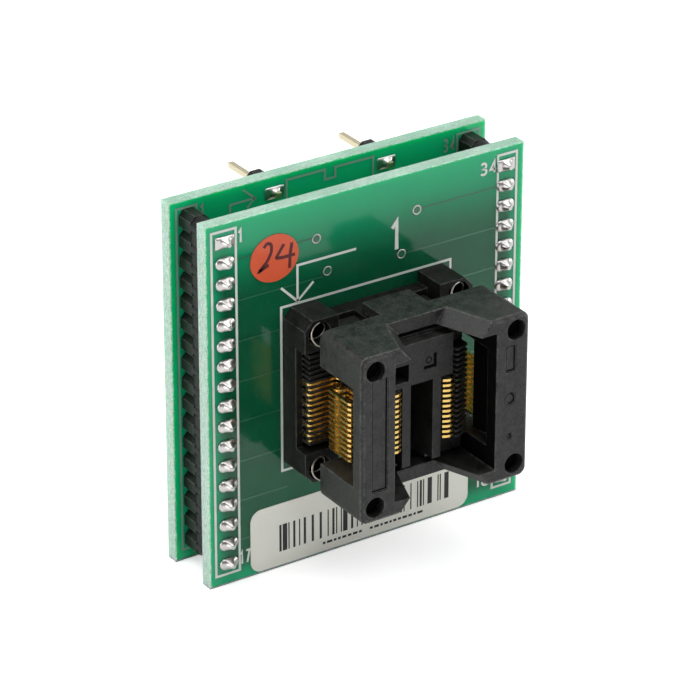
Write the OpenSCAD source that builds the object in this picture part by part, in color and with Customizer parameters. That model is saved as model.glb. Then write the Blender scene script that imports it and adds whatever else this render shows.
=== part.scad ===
// Test socket adapter: an open-top 0.65 mm pitch socket on a stack of two circuit boards,
// with square pins behind that plug into a 0.6 inch wide DIP socket.
// It stands on the lower edges of its boards. X runs along their width, Z runs up,
// and the socket looks towards -Y. The origin is the middle of the bottom of the box.

/* [Boards] */
// Width of both boards
board_w = 43.18; // [42.5:0.1:60]
// Height of both boards
board_h = 45.72; // [45:0.1:70]
// Thickness of a board
board_t = 1.6; // [1:0.1:2.4]
// Clear gap between the two boards
board_gap = 6.02; // [5.6:0.02:9]

/* [Header rows] */
// Pitch of the header pins
pitch = 2.54; // [2.5:0.01:2.6]
// Pins in each header row
header_pins = 17; // [12:1:17]
// Distance from the side of a board to its header row
header_in = 2.54; // [2.4:0.02:3]
// Height of the middle of the header rows above the middle of the boards
row_up = 0.2; // [0:0.05:0.4]
// Side of a square pin
pin_w = 0.64; // [0.4:0.02:0.7]
// Clearance of a board hole round the corners of a square pin
drill_clear = 0.05; // [0.02:0.01:0.12]
// Width of a header pin strip
strip_w = 2.5; // [2:0.05:2.8]
// Height of a header pin strip
strip_h = 2.54; // [1.5:0.02:3]
// Corner cut that leaves a notch between two pins of a strip
strip_notch = 0.62; // [0.3:0.02:0.8]
// Width of a receptacle strip between its swells
receptacle_w = 2.2; // [1.9:0.05:2.3]
// Radius of the swell round each hole of a receptacle strip
receptacle_swell_r = 1.24; // [1.2:0.01:1.3]
// Outer radius of a turned sleeve
sleeve_r = 0.78; // [0.65:0.01:0.85]
// Length of a turned sleeve
sleeve_l = 3; // [2:0.1:3.2]
// Clearance in a sleeve round the corners of its pin
sleeve_clear = 0.03; // [0.01:0.01:0.06]
// Radius of the tail of a sleeve
tail_r = 0.26; // [0.2:0.01:0.35]
// Distance that a tail or pin stands out of its solder
tail_out = 0.35; // [0.1:0.05:1]

/* [Pads and solder] */
// Length of a header pad, across the board
pad_l = 2.5; // [2:0.05:2.6]
// Width of a header pad, along the row
pad_w = 1.5; // [1.4:0.05:1.9]
// Thickness of the tinned copper
pad_t = 0.05; // [0.03:0.01:0.1]
// Radius of the foot of a solder joint
solder_foot_r = 0.72; // [0.65:0.01:0.75]
// Radius of the top of a solder joint
solder_top_r = 0.5; // [0.45:0.01:0.6]
// Height of a solder joint
solder_h = 0.75; // [0.4:0.05:1.2]

/* [DIP pins] */
// Distance between the two rows of DIP pins
dip_spacing = 15.24; // [7.62:2.54:22.86]
// Pins in each DIP row
dip_pins = 12; // [8:1:14]
// Height of the first DIP pin above the middle of the board
dip_first = 20.8; // [18:0.1:21]
// Distance that the DIP pins reach behind the back board
dip_reach = 8.18; // [6:0.02:12]
// Height of the strip that holds the DIP pins
dip_strip_h = 2.54; // [1.5:0.02:3]
// Length of the taper at a pin tip
pin_taper = 0.5; // [0.2:0.05:0.8]

/* [Socket base] */
// Width of the base
base_w = 22.9; // [22.5:0.1:26]
// Length of each end of the base, past the contact rows
base_end = 4.525; // [4.4:0.025:6]
// Height of the four corner blocks
base_h = 4.54; // [4.2:0.02:5]
// Thickness of the base floor
floor_t = 2; // [1.4:0.1:2.2]
// Height of the side walls beside the contacts
side_h = 2.6; // [2.3:0.1:3]
// Width of a corner block
block_w = 4.55; // [4.3:0.05:4.8]
// Length of a corner block
block_l = 3.9; // [3.6:0.05:4.1]
// Cut across the upright corner of a block
block_cut = 1.1; // [0.3:0.05:1.4]
// Thickness of the end walls that carry the latch ledges
ledge_wall = 0.65; // [0.5:0.05:0.7]
// Height of a latch ledge
ledge_t = 1; // [0.6:0.1:1.2]
// Distance from the side of the base to the inner side of the blocks under the contact bars
bar_block_in = 3.95; // [3.6:0.05:4]

/* [Contacts] */
// Pitch of the contact slots
slot_pitch = 0.65; // [0.6:0.01:0.65]
// Slots on each side
slots = 17; // [14:1:17]
// Contacts fitted on each side, from the lower end
contacts = 12; // [1:1:14]
// Thickness of the contact sheet
sheet_t = 0.3; // [0.2:0.01:0.32]
// Width of a contact strip in the plane of the sheet
strand = 0.3; // [0.2:0.01:0.34]
// Free space beside a contact in its slot
slot_clear = 0.03; // [0.02:0.01:0.05]
// Distance of the outer leg from the side of the base
leg_in = 1.1; // [0.95:0.05:1.2]
// Distance of the inner row of tails from the side of the base
tail_in = 3.05; // [2.85:0.05:3.2]
// Height of the outer bar of a contact
bar_z = 3.7; // [3.5:0.05:3.9]
// Distance of the spring loop from the side of the base
loop_in = 4.15; // [4:0.05:4.2]
// Middle radius of each spring loop
loop_r = 0.8; // [0.7:0.02:0.85]
// Distance of the lever from the side of the base
lever_in = 2.45; // [2.35:0.05:2.55]
// Height of the lower end of the lever
lever_low = 6; // [5.8:0.1:6.4]
// Height of the top of the lever
lever_top = 10.3; // [10:0.1:10.6]
// Height of the cross arm that runs through the comb
arm_z = 8.9; // [8.6:0.1:9.2]
// Distance of the riser to the nose from the middle
riser_x = 4.55; // [4.4:0.05:4.7]
// Height of the nose that presses on a lead
nose_z = 11.45; // [11.3:0.05:11.6]
// Distance of the nose tip from the middle
nose_x = 2.95; // [2.9:0.05:3.1]
// Gap at the flexing point between stem and arm
flex_gap = 0.06; // [0.04:0.01:0.1]
// Distance that a contact tail reaches behind the front board
contact_out = 1; // [0.6:0.1:2]

/* [Nest] */
// Height of the face that the chip rests on
seat_z = 10.7; // [10.5:0.05:10.8]
// Height of the front face of the nest
nest_z = 11.05; // [11:0.05:11.2]
// Half width of the nest legs
nest_leg_x = 2.65; // [2.5:0.05:2.7]
// Half width of the slot between the legs
nest_slot_x = 1.5; // [1:0.05:1.8]
// Half width of the cross piece
nest_cross_x = 4.25; // [4:0.05:4.35]
// Lower edge of the cross piece, above the middle of the socket
nest_cross_low = 2.5; // [2.3:0.05:2.6]
// Distance from the end of the nest to its cross piece and legs
nest_cross_in = 0.39; // [0.3:0.01:0.8]
// Distance from the side of the base to the sides of the nest at its ends
nest_end_in = 4.95; // [4.85:0.05:5.2]
// Clearance of the nest between the end walls of the base
nest_fit = 0.05; // [0.02:0.01:0.1]
// Inner side of the comb slots
comb_in_x = 4.25; // [4.2:0.05:4.35]
// Floor of the comb slots
comb_floor = 8.6; // [8:0.1:8.7]
// Width of the pocket in the cross piece
pocket_w = 1.9; // [1:0.1:2]
// Length of the pocket in the cross piece
pocket_h = 2.1; // [1:0.1:2.4]
// Side of the corner mark in the cross piece
mark_side = 1.8; // [1:0.1:2]
// Depth of every sunk mark on the nest and cover
mark_depth = 0.15; // [0.1:0.05:0.3]
// Height of the ends of the nest
nest_end_z = 9.6; // [9:0.1:10]
// Distance from the side of the base to the outer side of the comb teeth
comb_out_in = 5.15; // [5.05:0.05:5.4]
// Height of the comb teeth
comb_z = 10.9; // [10.6:0.05:11]
// Thickness of the walls of the nest round its hollow underside
nest_wall = 1; // [0.7:0.1:1.2]
// Thickness left between the hollow and the comb slots
nest_roof = 1; // [0.7:0.1:2]

/* [Cover] */
// Distance of the sides of the cover in from those of the base
cover_side_in = 0.1; // [0:0.05:0.3]
// Distance of the ends of the cover out from those of the base
cover_end_out = 0.15; // [0.1:0.05:0.4]
// Height of the underside of the cover at rest
cover_low = 7.35; // [7.2:0.05:8]
// Height of the front face of the cover at rest
cover_top = 15.87; // [15.8:0.05:17]
// Thickness of the side plates behind the front face
plate_t = 1.87; // [1.4:0.05:2]
// Width of each side bar
bar_w = 4.5; // [4.2:0.05:4.6]
// Length of each side window past the contact rows
window_over = 0.375; // [0.3:0.025:0.55]
// Thickness of the two end beams
beam_t = 1.75; // [1.6:0.05:2]
// Height of the end beams above the underside
beam_h = 2.55; // [2:0.05:3]
// Half width of the end notch at the front, outer side
notch_out = 6.3; // [6:0.05:6.6]
// Distance that the notch narrows from its outer to its inner side
notch_turn = 1.6; // [1:0.05:2]
// Distance that each notch flank leans in from front to floor
notch_lean = 2.2; // [1:0.05:2.6]
// Radius of the upright corners of the cover
cover_corner_r = 1; // [0.4:0.05:1.4]
// Bevel round the front face
cover_bevel = 0.35; // [0.1:0.05:0.6]
// Travel of the cover towards the board
travel = 2.5; // [1.5:0.1:2.6]
// Width of each cover leg
leg_w = 6.4; // [5:0.1:8]
// Thickness of each cover leg
leg_t = 1; // [0.8:0.05:1.1]
// Distance between the board and the end of a cover leg at rest
leg_end = 3.6; // [3.2:0.05:3.8]
// Reach of the hook on a cover leg
hook = 0.5; // [0.3:0.05:0.6]
// Thickness of the hook
hook_t = 0.9; // [0.6:0.05:1]
// Running clearance between cover and base or nest
run = 0.1; // [0.06:0.01:0.15]

/* [Springs] */
// Distance of a spring axis from the side of the base
spring_side_in = 1.95; // [1.85:0.05:2.05]
// Distance of a spring axis from the end of the base
spring_end_in = 1.75; // [1.65:0.05:1.8]
// Radius of the bores that hold the springs
spring_bore_r = 1.45; // [1.4:0.01:1.5]
// Radius of the holes in the front face
front_hole_r = 1.22; // [1:0.01:1.25]
// Middle radius of a spring coil
coil_r = 1.2; // [1.1:0.01:1.25]
// Radius of the spring wire
wire_r = 0.13; // [0.08:0.01:0.16]
// Turns of a spring
coil_turns = 8; // [5:1:10]
// Depth of floor left under a spring
spring_floor = 0.8; // [0.5:0.05:1.2]
// Thickness of the cover left in front of a spring
spring_roof = 1.3; // [0.8:0.05:2]

/* [Labels] */
// Diameter of the round sticker
sticker_d = 6.5; // [4:0.1:8]
// Distance of each side of the label in from a header row
label_side_in = 3.8; // [3:0.1:8]
// Height of the label
label_h = 8.1; // [5:0.1:9]
// Thickness of the paper
paper_t = 0.08; // [0.05:0.01:0.15]

/* [Hidden] */

// Fineness of the true round features
$fn = 48;
// Overshoot of a cut past the face that it opens
over = 0.5;

// Places along the bench height, from the front face of the front board
back_front = -board_t - board_gap;
back_rear = back_front - board_t;
dip_tip = back_rear - dip_reach;
receptacle_h = board_gap - strip_h;
strip_top = back_front + strip_h;
sleeve_low = -board_t - sleeve_l;

// Places across and along the boards
header_x = board_w / 2 - header_in;
dip_x = dip_spacing / 2;
header_y = [for (i = [0 : header_pins - 1]) row_up + ((header_pins - 1) / 2 - i) * pitch];
dip_y = [for (i = [0 : dip_pins - 1]) dip_first - i * pitch];
drill_r = pin_w / sqrt(2) + drill_clear;
sleeve_bore_r = pin_w / sqrt(2) + sleeve_clear;
row_h = header_pins * pitch;
drill_contact_r = sheet_t / sqrt(2) + drill_clear;
contact_pad_r = 0.42;
pin_short = 0.6;
sleeve_roof = 0.4;
solder_short = 0.3;
sticker_x = 6.5 - header_x;
sticker_y = 16.9;
label_w = 2 * (header_x - label_side_in);
label_x = -0.85;
label_low = 0.3;
label_r = 1.5;

// Places in the socket
slot_y = [for (i = [0 : slots - 1]) (i - (slots - 1) / 2) * slot_pitch];
comb_end = 0.2;
comb_y = slots * slot_pitch / 2 + comb_end;
base_l = 2 * (comb_y + base_end);
cover_w = base_w - 2 * cover_side_in;
cover_l = base_l + 2 * cover_end_out;
window_y = comb_y + window_over;
opening_y = cover_l / 2 - beam_t;
spring_x = base_w / 2 - spring_side_in;
spring_y = base_l / 2 - spring_end_in;
leg_x = base_w / 2 - leg_in;
tail_x = base_w / 2 - tail_in;
loop_x = base_w / 2 - loop_in;
lever_x = base_w / 2 - lever_in;
bar_block_x = base_w / 2 - bar_block_in;
comb_out_x = base_w / 2 - comb_out_in;
nest_end_x = base_w / 2 - nest_end_in;
slot_w = sheet_t + 2 * slot_clear;
tail_w = strand + 2 * slot_clear;
leg_out_x = leg_x + strand / 2 + slot_clear;
block_y = base_l / 2 - block_l;
leg_in_y = cover_l / 2 - leg_t;
end_wall_y = leg_in_y - run - hook;
nest_end_y = end_wall_y - ledge_wall - nest_fit;
nest_cross_top = nest_end_y - nest_cross_in;
ledge_z = leg_end + hook_t;
relief_z = ledge_z + ledge_t + travel + run;
notch_floor = cover_low + beam_h;
spring_low = spring_floor;
spring_top = cover_top - spring_roof;
bar_x = cover_w / 2 - bar_w;
flex_reach = 0.3;
flex_x = loop_x + flex_reach;
flex_z = bar_z + 2 * loop_r;
arm_start = flex_x + flex_gap;
nose_r = 0.45;
pocket_in = 0.3;
pocket_up = 0.67;
mark_x = 2.05;
mark_y = 3.97;
mark_line = 0.45;
cam_low = 9.7;
cam_in = base_w / 2 - 3.47;
cam_out = base_w / 2 - 3;
cam_spread = 2;
cam_lean = 0.9;
long_field = [2.05, 14];
long_field_at = [-0.8, -6.6];
short_field = [1.3, 3.2];
short_field_at = [-0.9, 3.4];
dot_at = [-0.3, 0];
dot_d = 1.5;
small_dot_at = [-0.3, -4.8];
small_dot_d = 0.8;
stagger = [leg_x, tail_x];

// Sets a piece made on the bench, with the socket facing up, on the lower edges of its boards
module stand() {
    translate([0, (dip_tip + cover_top) / 2, board_h / 2]) rotate([90, 0, 0]) children();
}

module rounded_plate(w, l, r) {
    union() {
        square([w - 2 * r, l], center = true);
        square([w, l - 2 * r], center = true);
        for (x = [-1, 1], y = [-1, 1]) translate([x * (w / 2 - r), y * (l / 2 - r)]) circle(r = r);
    }
}

module at_headers() {
    for (x = [-header_x, header_x], y = header_y) translate([x, y, 0]) children();
}

module at_dip() {
    for (x = [-dip_x, dip_x], y = dip_y) translate([x, y, 0]) children();
}

module at_contacts(side) {
    for (i = [0 : contacts - 1]) translate([side * stagger[i % 2], slot_y[i], 0]) children();
}

module board() {
    translate([-board_w / 2, -board_h / 2, 0]) cube([board_w, board_h, board_t]);
}

module front_board() {
    color("seagreen") stand() difference() {
        translate([0, 0, -board_t]) board();
        at_headers() translate([0, 0, -board_t - over]) cylinder(r = drill_r, h = board_t + 2 * over);
        for (side = [-1, 1]) at_contacts(side)
            translate([0, 0, -board_t - over]) cylinder(r = drill_contact_r, h = board_t + 2 * over);
    }
}

module back_board() {
    color("seagreen") stand() difference() {
        translate([0, 0, back_rear]) board();
        at_headers() translate([0, 0, back_rear - over]) cylinder(r = drill_r, h = board_t + 2 * over);
        at_dip() translate([0, 0, back_rear - over]) cylinder(r = drill_r, h = board_t + 2 * over);
    }
}

module header_pad() {
    linear_extrude(pad_t) difference() {
        union() {
            square([pad_l - pad_w, pad_w], center = true);
            for (x = [-1, 1]) translate([x * (pad_l - pad_w) / 2, 0]) circle(d = pad_w);
        }
        circle(r = drill_r);
    }
}

// Square corners of the pads at the upper end of both rows
module end_pads() {
    for (x = [-header_x, header_x]) translate([x, header_y[0], 0]) linear_extrude(pad_t) difference() {
        square([pad_l, pad_w], center = true);
        circle(r = drill_r);
    }
}

module round_pad(r, hole) {
    linear_extrude(pad_t) difference() {
        circle(r = r);
        circle(r = hole);
    }
}

module front_pads() {
    color("silver") stand() {
        at_headers() header_pad();
        end_pads();
        for (side = [-1, 1]) at_contacts(side)
            translate([0, 0, -board_t - pad_t]) round_pad(contact_pad_r, drill_contact_r);
    }
}

module back_pads() {
    color("silver") stand() {
        at_headers() translate([0, 0, back_rear - pad_t]) header_pad();
        at_dip() translate([0, 0, back_front]) round_pad(pad_w / 2, drill_r);
    }
}

// A cone of solder on a pad, with its fill in the drilled hole, round a pin of any section
module solder_joint(foot, top, h, hole, depth) {
    translate([0, 0, pad_t]) cylinder(r1 = foot, r2 = top, h = h);
    translate([0, 0, -depth]) cylinder(r = hole, h = depth + pad_t);
}

module square_pin(low, high) {
    translate([-pin_w / 2, -pin_w / 2, low]) cube([pin_w, pin_w, high - low]);
}

module front_solder() {
    color("gainsboro") stand() at_headers() difference() {
        solder_joint(solder_foot_r, solder_top_r, solder_h, drill_r, board_t);
        translate([0, 0, -board_t - over]) cylinder(r = tail_r, h = board_t + solder_h + 2 * over);
    }
}

module back_solder() {
    color("gainsboro") stand() at_headers() difference() {
        translate([0, 0, back_rear]) mirror([0, 0, 1])
            solder_joint(solder_foot_r, solder_top_r, solder_h, drill_r, board_t);
        square_pin(back_rear - solder_h - over, back_front + over);
    }
}

module dip_solder() {
    color("gainsboro") stand() at_dip() difference() {
        translate([0, 0, back_front])
            solder_joint(solder_foot_r, solder_top_r, solder_h, drill_r, board_t);
        square_pin(back_rear - over, back_front + solder_h + over);
    }
}

module contact_solder() {
    color("gainsboro") stand() for (side = [-1, 1]) at_contacts(side) difference() {
        translate([0, 0, -board_t]) mirror([0, 0, 1])
            solder_joint(contact_pad_r, sheet_t, contact_out - solder_short, drill_contact_r, board_t);
        translate([-strand / 2, -sheet_t / 2, -board_t - contact_out - over])
            cube([strand, sheet_t, board_t + contact_out + 2 * over]);
    }
}

// Strip for a row of square pins: squares with their corners cut, joined by a bar down the middle
module strip(rows) {
    h = pitch / 2;
    w = strip_w / 2;
    c = strip_notch;
    difference() {
        union() {
            for (y = rows) translate([0, y]) polygon([
                [w, c - h], [w, h - c], [w - c, h], [c - w, h],
                [-w, h - c], [-w, c - h], [c - w, -h], [w - c, -h]
            ]);
            translate([c - w, min(rows)]) square([2 * (w - c), max(rows) - min(rows)]);
        }
        for (y = rows) translate([0, y]) square(pin_w, center = true);
    }
}

module pin_strip(side) {
    color([0.1, 0.1, 0.1]) stand() translate([side * header_x, 0, back_front])
        linear_extrude(strip_h) strip(header_y);
}

module receptacle_strip(side) {
    color([0.06, 0.06, 0.06]) stand() translate([side * header_x, 0, strip_top]) difference() {
        linear_extrude(receptacle_h) union() {
            translate([-receptacle_w / 2, min(header_y)]) square([receptacle_w, row_h - pitch]);
            for (y = header_y) translate([0, y]) circle(r = receptacle_swell_r);
        }
        for (y = header_y) translate([0, y, 0]) {
            translate([0, 0, receptacle_h - sleeve_l]) cylinder(r = sleeve_r, h = sleeve_l + over);
            translate([0, 0, -over]) cylinder(r = drill_r, h = receptacle_h);
        }
    }
}

module header_pins(side) {
    color("gold") stand() for (y = header_y) translate([side * header_x, y, 0])
        square_pin(back_rear - pad_t - solder_h - tail_out, sleeve_low + sleeve_l - pin_short);
}

module sleeves(side) {
    color("gold") stand() for (y = header_y) translate([side * header_x, y, 0]) {
        difference() {
            translate([0, 0, sleeve_low]) cylinder(r = sleeve_r, h = sleeve_l);
            translate([0, 0, sleeve_low - over])
                cylinder(r = sleeve_bore_r, h = sleeve_l + over - sleeve_roof);
        }
        translate([0, 0, -board_t]) cylinder(r = tail_r, h = board_t + pad_t + solder_h + tail_out);
    }
}

module dip_strip(side) {
    color([0.1, 0.1, 0.1]) stand() translate([side * dip_x, 0, back_rear - dip_strip_h])
        linear_extrude(dip_strip_h) strip(dip_y);
}

module tapered_pin(low, high) {
    square_pin(low + pin_taper, high);
    translate([0, 0, low]) rotate([0, 0, 45])
        cylinder(r1 = pin_w / 4, r2 = pin_w / sqrt(2), h = pin_taper, $fn = 4);
}

module dip_pin_row(side) {
    color("gold") stand() for (y = dip_y) translate([side * dip_x, y, 0])
        tapered_pin(dip_tip, back_front + pad_t + solder_h + tail_out);
}

module mirrored(x, y) {
    mirror([x < 0 ? 1 : 0, 0, 0]) mirror([0, y < 0 ? 1 : 0, 0]) children();
}

module at_corners() {
    for (x = [-1, 1], y = [-1, 1]) mirrored(x, y) children();
}

// One corner block of the base, cut across its upright corner
module corner_block() {
    w = base_w / 2;
    l = base_l / 2;
    linear_extrude(base_h) polygon([
        [w - block_w, l - block_l], [w, l - block_l], [w, l - block_cut],
        [w - block_cut, l], [w - block_w, l]
    ]);
}

// Wall at one end of the base, with the ledge that holds a cover leg
module latch_wall() {
    translate([-leg_w / 2, end_wall_y - ledge_wall, 0]) cube([leg_w, ledge_wall, ledge_z + ledge_t]);
    translate([-leg_w / 2, end_wall_y - ledge_wall, ledge_z]) cube([leg_w, ledge_wall + hook, ledge_t]);
}

module socket_base() {
    color([0.13, 0.13, 0.13]) stand() difference() {
        union() {
            translate([-base_w / 2, -end_wall_y, 0]) cube([base_w, 2 * end_wall_y, floor_t]);
            at_corners() corner_block();
            for (side = [-1, 1]) {
                mirrored(1, side) latch_wall();
                mirrored(side, 1) {
                    translate([leg_out_x, -block_y, 0]) cube([base_w / 2 - leg_out_x, 2 * block_y, side_h]);
                    translate([bar_block_x, -comb_y, 0])
                        cube([leg_out_x - bar_block_x, 2 * comb_y, bar_z + strand]);
                }
            }
        }
        at_corners() translate([spring_x, spring_y, spring_floor])
            cylinder(r = spring_bore_r, h = base_h);
        for (side = [-1, 1]) mirrored(side, 1) {
            for (y = slot_y) {
                translate([bar_block_x - over, y - slot_w / 2, bar_z - strand / 2])
                    cube([leg_out_x - bar_block_x + over, slot_w, 2 * strand]);
                translate([leg_x - tail_w / 2, y - slot_w / 2, floor_t]) cube([tail_w, slot_w, base_h]);
            }
            for (i = [0 : contacts - 1])
                translate([stagger[i % 2] - tail_w / 2, slot_y[i] - slot_w / 2, -over])
                    cube([tail_w, slot_w, base_h]);
        }
    }
}

// Sunk mark at the corner where lead 1 goes
module corner_mark() {
    translate([mark_x - mark_side, mark_y]) square([mark_side, mark_line]);
    translate([mark_x - mark_line, mark_y]) square([mark_line, mark_side]);
}

// Hollow under the nest, open at its foot, with walls left all round and beside the slot
module nest_hollow() {
    top = comb_floor - nest_roof;
    side_x = nest_slot_x + nest_wall;
    end_y = nest_end_y - nest_wall;
    translate([0, 0, floor_t - over]) linear_extrude(top - floor_t + over) {
        for (side = [-1, 1]) mirrored(side, 1)
            translate([side_x, -end_y]) square([comb_out_x - nest_wall - side_x, 2 * end_y]);
        translate([-side_x, nest_cross_low + nest_wall])
            square([2 * side_x, end_y - nest_cross_low - nest_wall]);
    }
}

// Locating nest: seat for the chip, two legs with a slot between them, and a comb on each side
module chip_nest() {
    color([0.15, 0.15, 0.15]) stand() difference() {
        union() {
            translate([-comb_out_x, -comb_y, floor_t]) cube([2 * comb_out_x, 2 * comb_y, seat_z - floor_t]);
            for (side = [-1, 1]) {
                mirrored(side, 1) translate([comb_in_x, -comb_y, floor_t])
                    cube([comb_out_x - comb_in_x, 2 * comb_y, comb_z - floor_t]);
                mirrored(1, side) translate([-nest_end_x, comb_y - nest_fit, floor_t])
                    cube([2 * nest_end_x, nest_end_y - comb_y + nest_fit, nest_end_z - floor_t]);
            }
            translate([-nest_leg_x, -nest_cross_top, floor_t])
                cube([2 * nest_leg_x, nest_cross_top + nest_cross_low, nest_z - floor_t]);
            translate([-nest_cross_x, nest_cross_low, floor_t])
                cube([2 * nest_cross_x, nest_cross_top - nest_cross_low, nest_z - floor_t]);
        }
        translate([-nest_slot_x, -nest_cross_top - over, floor_t - over])
            cube([2 * nest_slot_x, nest_cross_top + nest_cross_low + over, nest_z]);
        for (side = [-1, 1]) mirrored(side, 1) for (y = slot_y)
            translate([comb_in_x, y - slot_w / 2, comb_floor]) cube([comb_out_x, slot_w, nest_z]);
        translate([-nest_slot_x - pocket_in - pocket_w, nest_cross_low + pocket_up, comb_floor])
            cube([pocket_w, pocket_h, nest_z]);
        translate([0, 0, nest_z - mark_depth]) linear_extrude(mark_depth + over) corner_mark();
        nest_hollow();
    }
}

// A strip along a half circle: its middle line has radius r, and it lies on the side of +x
module half_ring(r) {
    intersection() {
        difference() {
            circle(r = r + strand / 2);
            circle(r = r - strand / 2);
        }
        translate([0, -r - strand]) square([r + strand, 2 * r + 2 * strand]);
    }
}

// A straight run of contact sheet between two points on one level or one upright
module run_between(a, b) {
    low = [min(a[0], b[0]), min(a[1], b[1])];
    high = [max(a[0], b[0]), max(a[1], b[1])];
    translate(low - [strand, strand] / 2) square(high - low + [strand, strand]);
}

// Sets a flat contact shape, drawn across and up, into the slot at y
module stamped(y) {
    translate([0, y + sheet_t / 2, 0]) rotate([90, 0, 0]) linear_extrude(sheet_t) children();
}

module stem_shape(tail) {
    run_between([tail, -board_t - contact_out], [tail, bar_z]);
    run_between([leg_x, floor_t + strand / 2], [leg_x, bar_z]);
    run_between([loop_x + strand / 2, bar_z], [leg_x, bar_z]);
    translate([loop_x, bar_z + loop_r]) mirror([1, 0]) half_ring(loop_r);
    translate([loop_x, flex_z - strand / 2]) square([flex_x - loop_x, strand]);
}

module arm_shape() {
    loop_top = flex_z + 2 * loop_r;
    loop_out = arm_start + loop_r;
    translate([arm_start, flex_z + loop_r]) half_ring(loop_r);
    translate([loop_x - strand / 2, loop_top - strand / 2])
        square([arm_start - loop_x + strand / 2, strand]);
    run_between([loop_x, loop_top], [loop_x, arm_z]);
    run_between([riser_x, arm_z], [loop_x, arm_z]);
    run_between([riser_x, arm_z], [riser_x, nose_z - nose_r - strand / 2]);
    translate([riser_x - nose_r, nose_z - nose_r - strand / 2]) intersection() {
        half_ring(nose_r);
        square(2 * nose_r);
    }
    translate([nose_x, nose_z - strand]) square([riser_x - nose_r - nose_x, strand]);
    translate([nose_x - strand / 2, nose_z - 2 * strand]) square([strand, 2 * strand]);
    run_between([loop_out, flex_z + loop_r], [lever_x, flex_z + loop_r]);
    run_between([lever_x, lever_low + strand / 2], [lever_x, lever_top - strand / 2]);
}

module contact_stems(side) {
    color("goldenrod") stand() mirrored(side, 1)
        for (i = [0 : contacts - 1]) stamped(slot_y[i]) stem_shape(stagger[i % 2]);
}

module contact_arms(side) {
    color("gold") stand() mirrored(side, 1) for (i = [0 : contacts - 1]) stamped(slot_y[i]) arm_shape();
}

// Outer form of the cover, beveled round its front face
module cover_block() {
    hull() {
        translate([0, 0, cover_low]) linear_extrude(cover_top - cover_low - cover_bevel)
            rounded_plate(cover_w, cover_l, cover_corner_r, $fn = 32);
        translate([0, 0, cover_low]) linear_extrude(cover_top - cover_low)
            rounded_plate(cover_w - 2 * cover_bevel, cover_l - 2 * cover_bevel,
                cover_corner_r - cover_bevel / 2, $fn = 32);
    }
}

// Notch in one end beam: its flanks lean in towards the floor and towards the opening
module end_notch() {
    rise = cover_top - notch_floor + over;
    lean = notch_lean * rise / (cover_top - notch_floor);
    turn = notch_turn / (cover_l / 2 - opening_y);
    outer = cover_l / 2 + over;
    inner = opening_y - over;
    low_out = notch_out - notch_lean + turn * over;
    low_in = notch_out - notch_lean - notch_turn - turn * over;
    hull() {
        translate([0, 0, notch_floor]) linear_extrude(0.01)
            polygon([[-low_out, outer], [-low_in, inner], [low_in, inner], [low_out, outer]]);
        translate([0, 0, notch_floor + rise]) linear_extrude(0.01) polygon([
            [-low_out - lean, outer], [-low_in - lean, inner],
            [low_in + lean, inner], [low_out + lean, outer]
        ]);
    }
}

// Wedge under a side plate that spreads the contact levers
module cam() {
    plate_z = cover_top - plate_t + over;
    translate([0, window_y + over, 0]) rotate([90, 0, 0]) linear_extrude(2 * window_y + 2 * over)
        polygon([
            [cam_in, cam_low], [cam_out, cam_low],
            [cam_out + cam_spread, plate_z], [cam_in + cam_lean, plate_z]
        ]);
}

// Leg with a hook that slides down one end of the base
module cover_leg() {
    translate([-leg_w / 2, leg_in_y, leg_end]) cube([leg_w, leg_t, cover_low - leg_end + over]);
    translate([-leg_w / 2, leg_in_y - hook, leg_end]) cube([leg_w, hook + over, hook_t]);
}

// Bare sunk fields on the two side bars
module cover_marks() {
    bar_mid = (cover_w / 2 + bar_x) / 2;
    translate([-bar_mid, 0] + long_field_at) square(long_field);
    translate([bar_mid, 0]) {
        translate(short_field_at) square(short_field);
        translate(dot_at) circle(d = dot_d);
        translate(small_dot_at) circle(d = small_dot_d);
    }
}

module cover() {
    color([0.17, 0.17, 0.17]) stand() union() {
        difference() {
            cover_block();
            translate([-bar_x, -opening_y, 0]) cube([2 * bar_x, 2 * opening_y, cover_top + over]);
            translate([-cover_w, -window_y, 0]) cube([2 * cover_w, 2 * window_y, cover_top - plate_t]);
            for (side = [-1, 1]) mirrored(1, side) {
                end_notch();
                translate([-leg_w / 2 - run, opening_y - over, 0])
                    cube([leg_w + 2 * run, leg_in_y - opening_y + over, relief_z]);
            }
            at_corners() translate([spring_x, spring_y, 0]) {
                cylinder(r = spring_bore_r, h = spring_top);
                cylinder(r = front_hole_r, h = cover_top + over);
            }
            translate([0, 0, cover_top - mark_depth]) linear_extrude(mark_depth + over) cover_marks();
        }
        for (side = [-1, 1]) {
            mirrored(side, 1) cam();
            mirrored(1, side) cover_leg();
        }
    }
}

// A coil spring as a wire swept along its helix, with closed ends
function coil_point(t, low, high) = let (a = 360 * coil_turns * t)
    [coil_r * cos(a), coil_r * sin(a), low + wire_r + (high - low - 2 * wire_r) * t];

module spring(low, high) {
    sides = 6;
    steps = 12 * coil_turns;
    slope = (high - low) / coil_turns / (2 * PI * coil_r);
    points = [for (i = [0 : steps])
        let (t = i / steps, a = 360 * coil_turns * t, c = coil_point(t, low, high))
        for (k = [0 : sides - 1]) let (b = 360 * k / sides, o = wire_r * cos(b), u = wire_r * sin(b))
            c + [(o * cos(a) + u * slope * sin(a)), (o * sin(a) - u * slope * cos(a)), u]];
    walls = [for (i = [0 : steps - 1], k = [0 : sides - 1]) let (n = (k + 1) % sides)
        [i * sides + k, i * sides + n, (i + 1) * sides + n, (i + 1) * sides + k]];
    polyhedron(points, concat(
        [[for (k = [sides - 1 : -1 : 0]) k]], walls, [[for (k = [0 : sides - 1]) steps * sides + k]]
    ));
}

module corner_spring(x, y) {
    color("lightsteelblue") stand() translate([x * spring_x, y * spring_y, 0])
        spring(spring_low, spring_top);
}

module sticker() {
    color("orangered") stand() translate([sticker_x, sticker_y, 0]) cylinder(d = sticker_d, h = paper_t);
}

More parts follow.
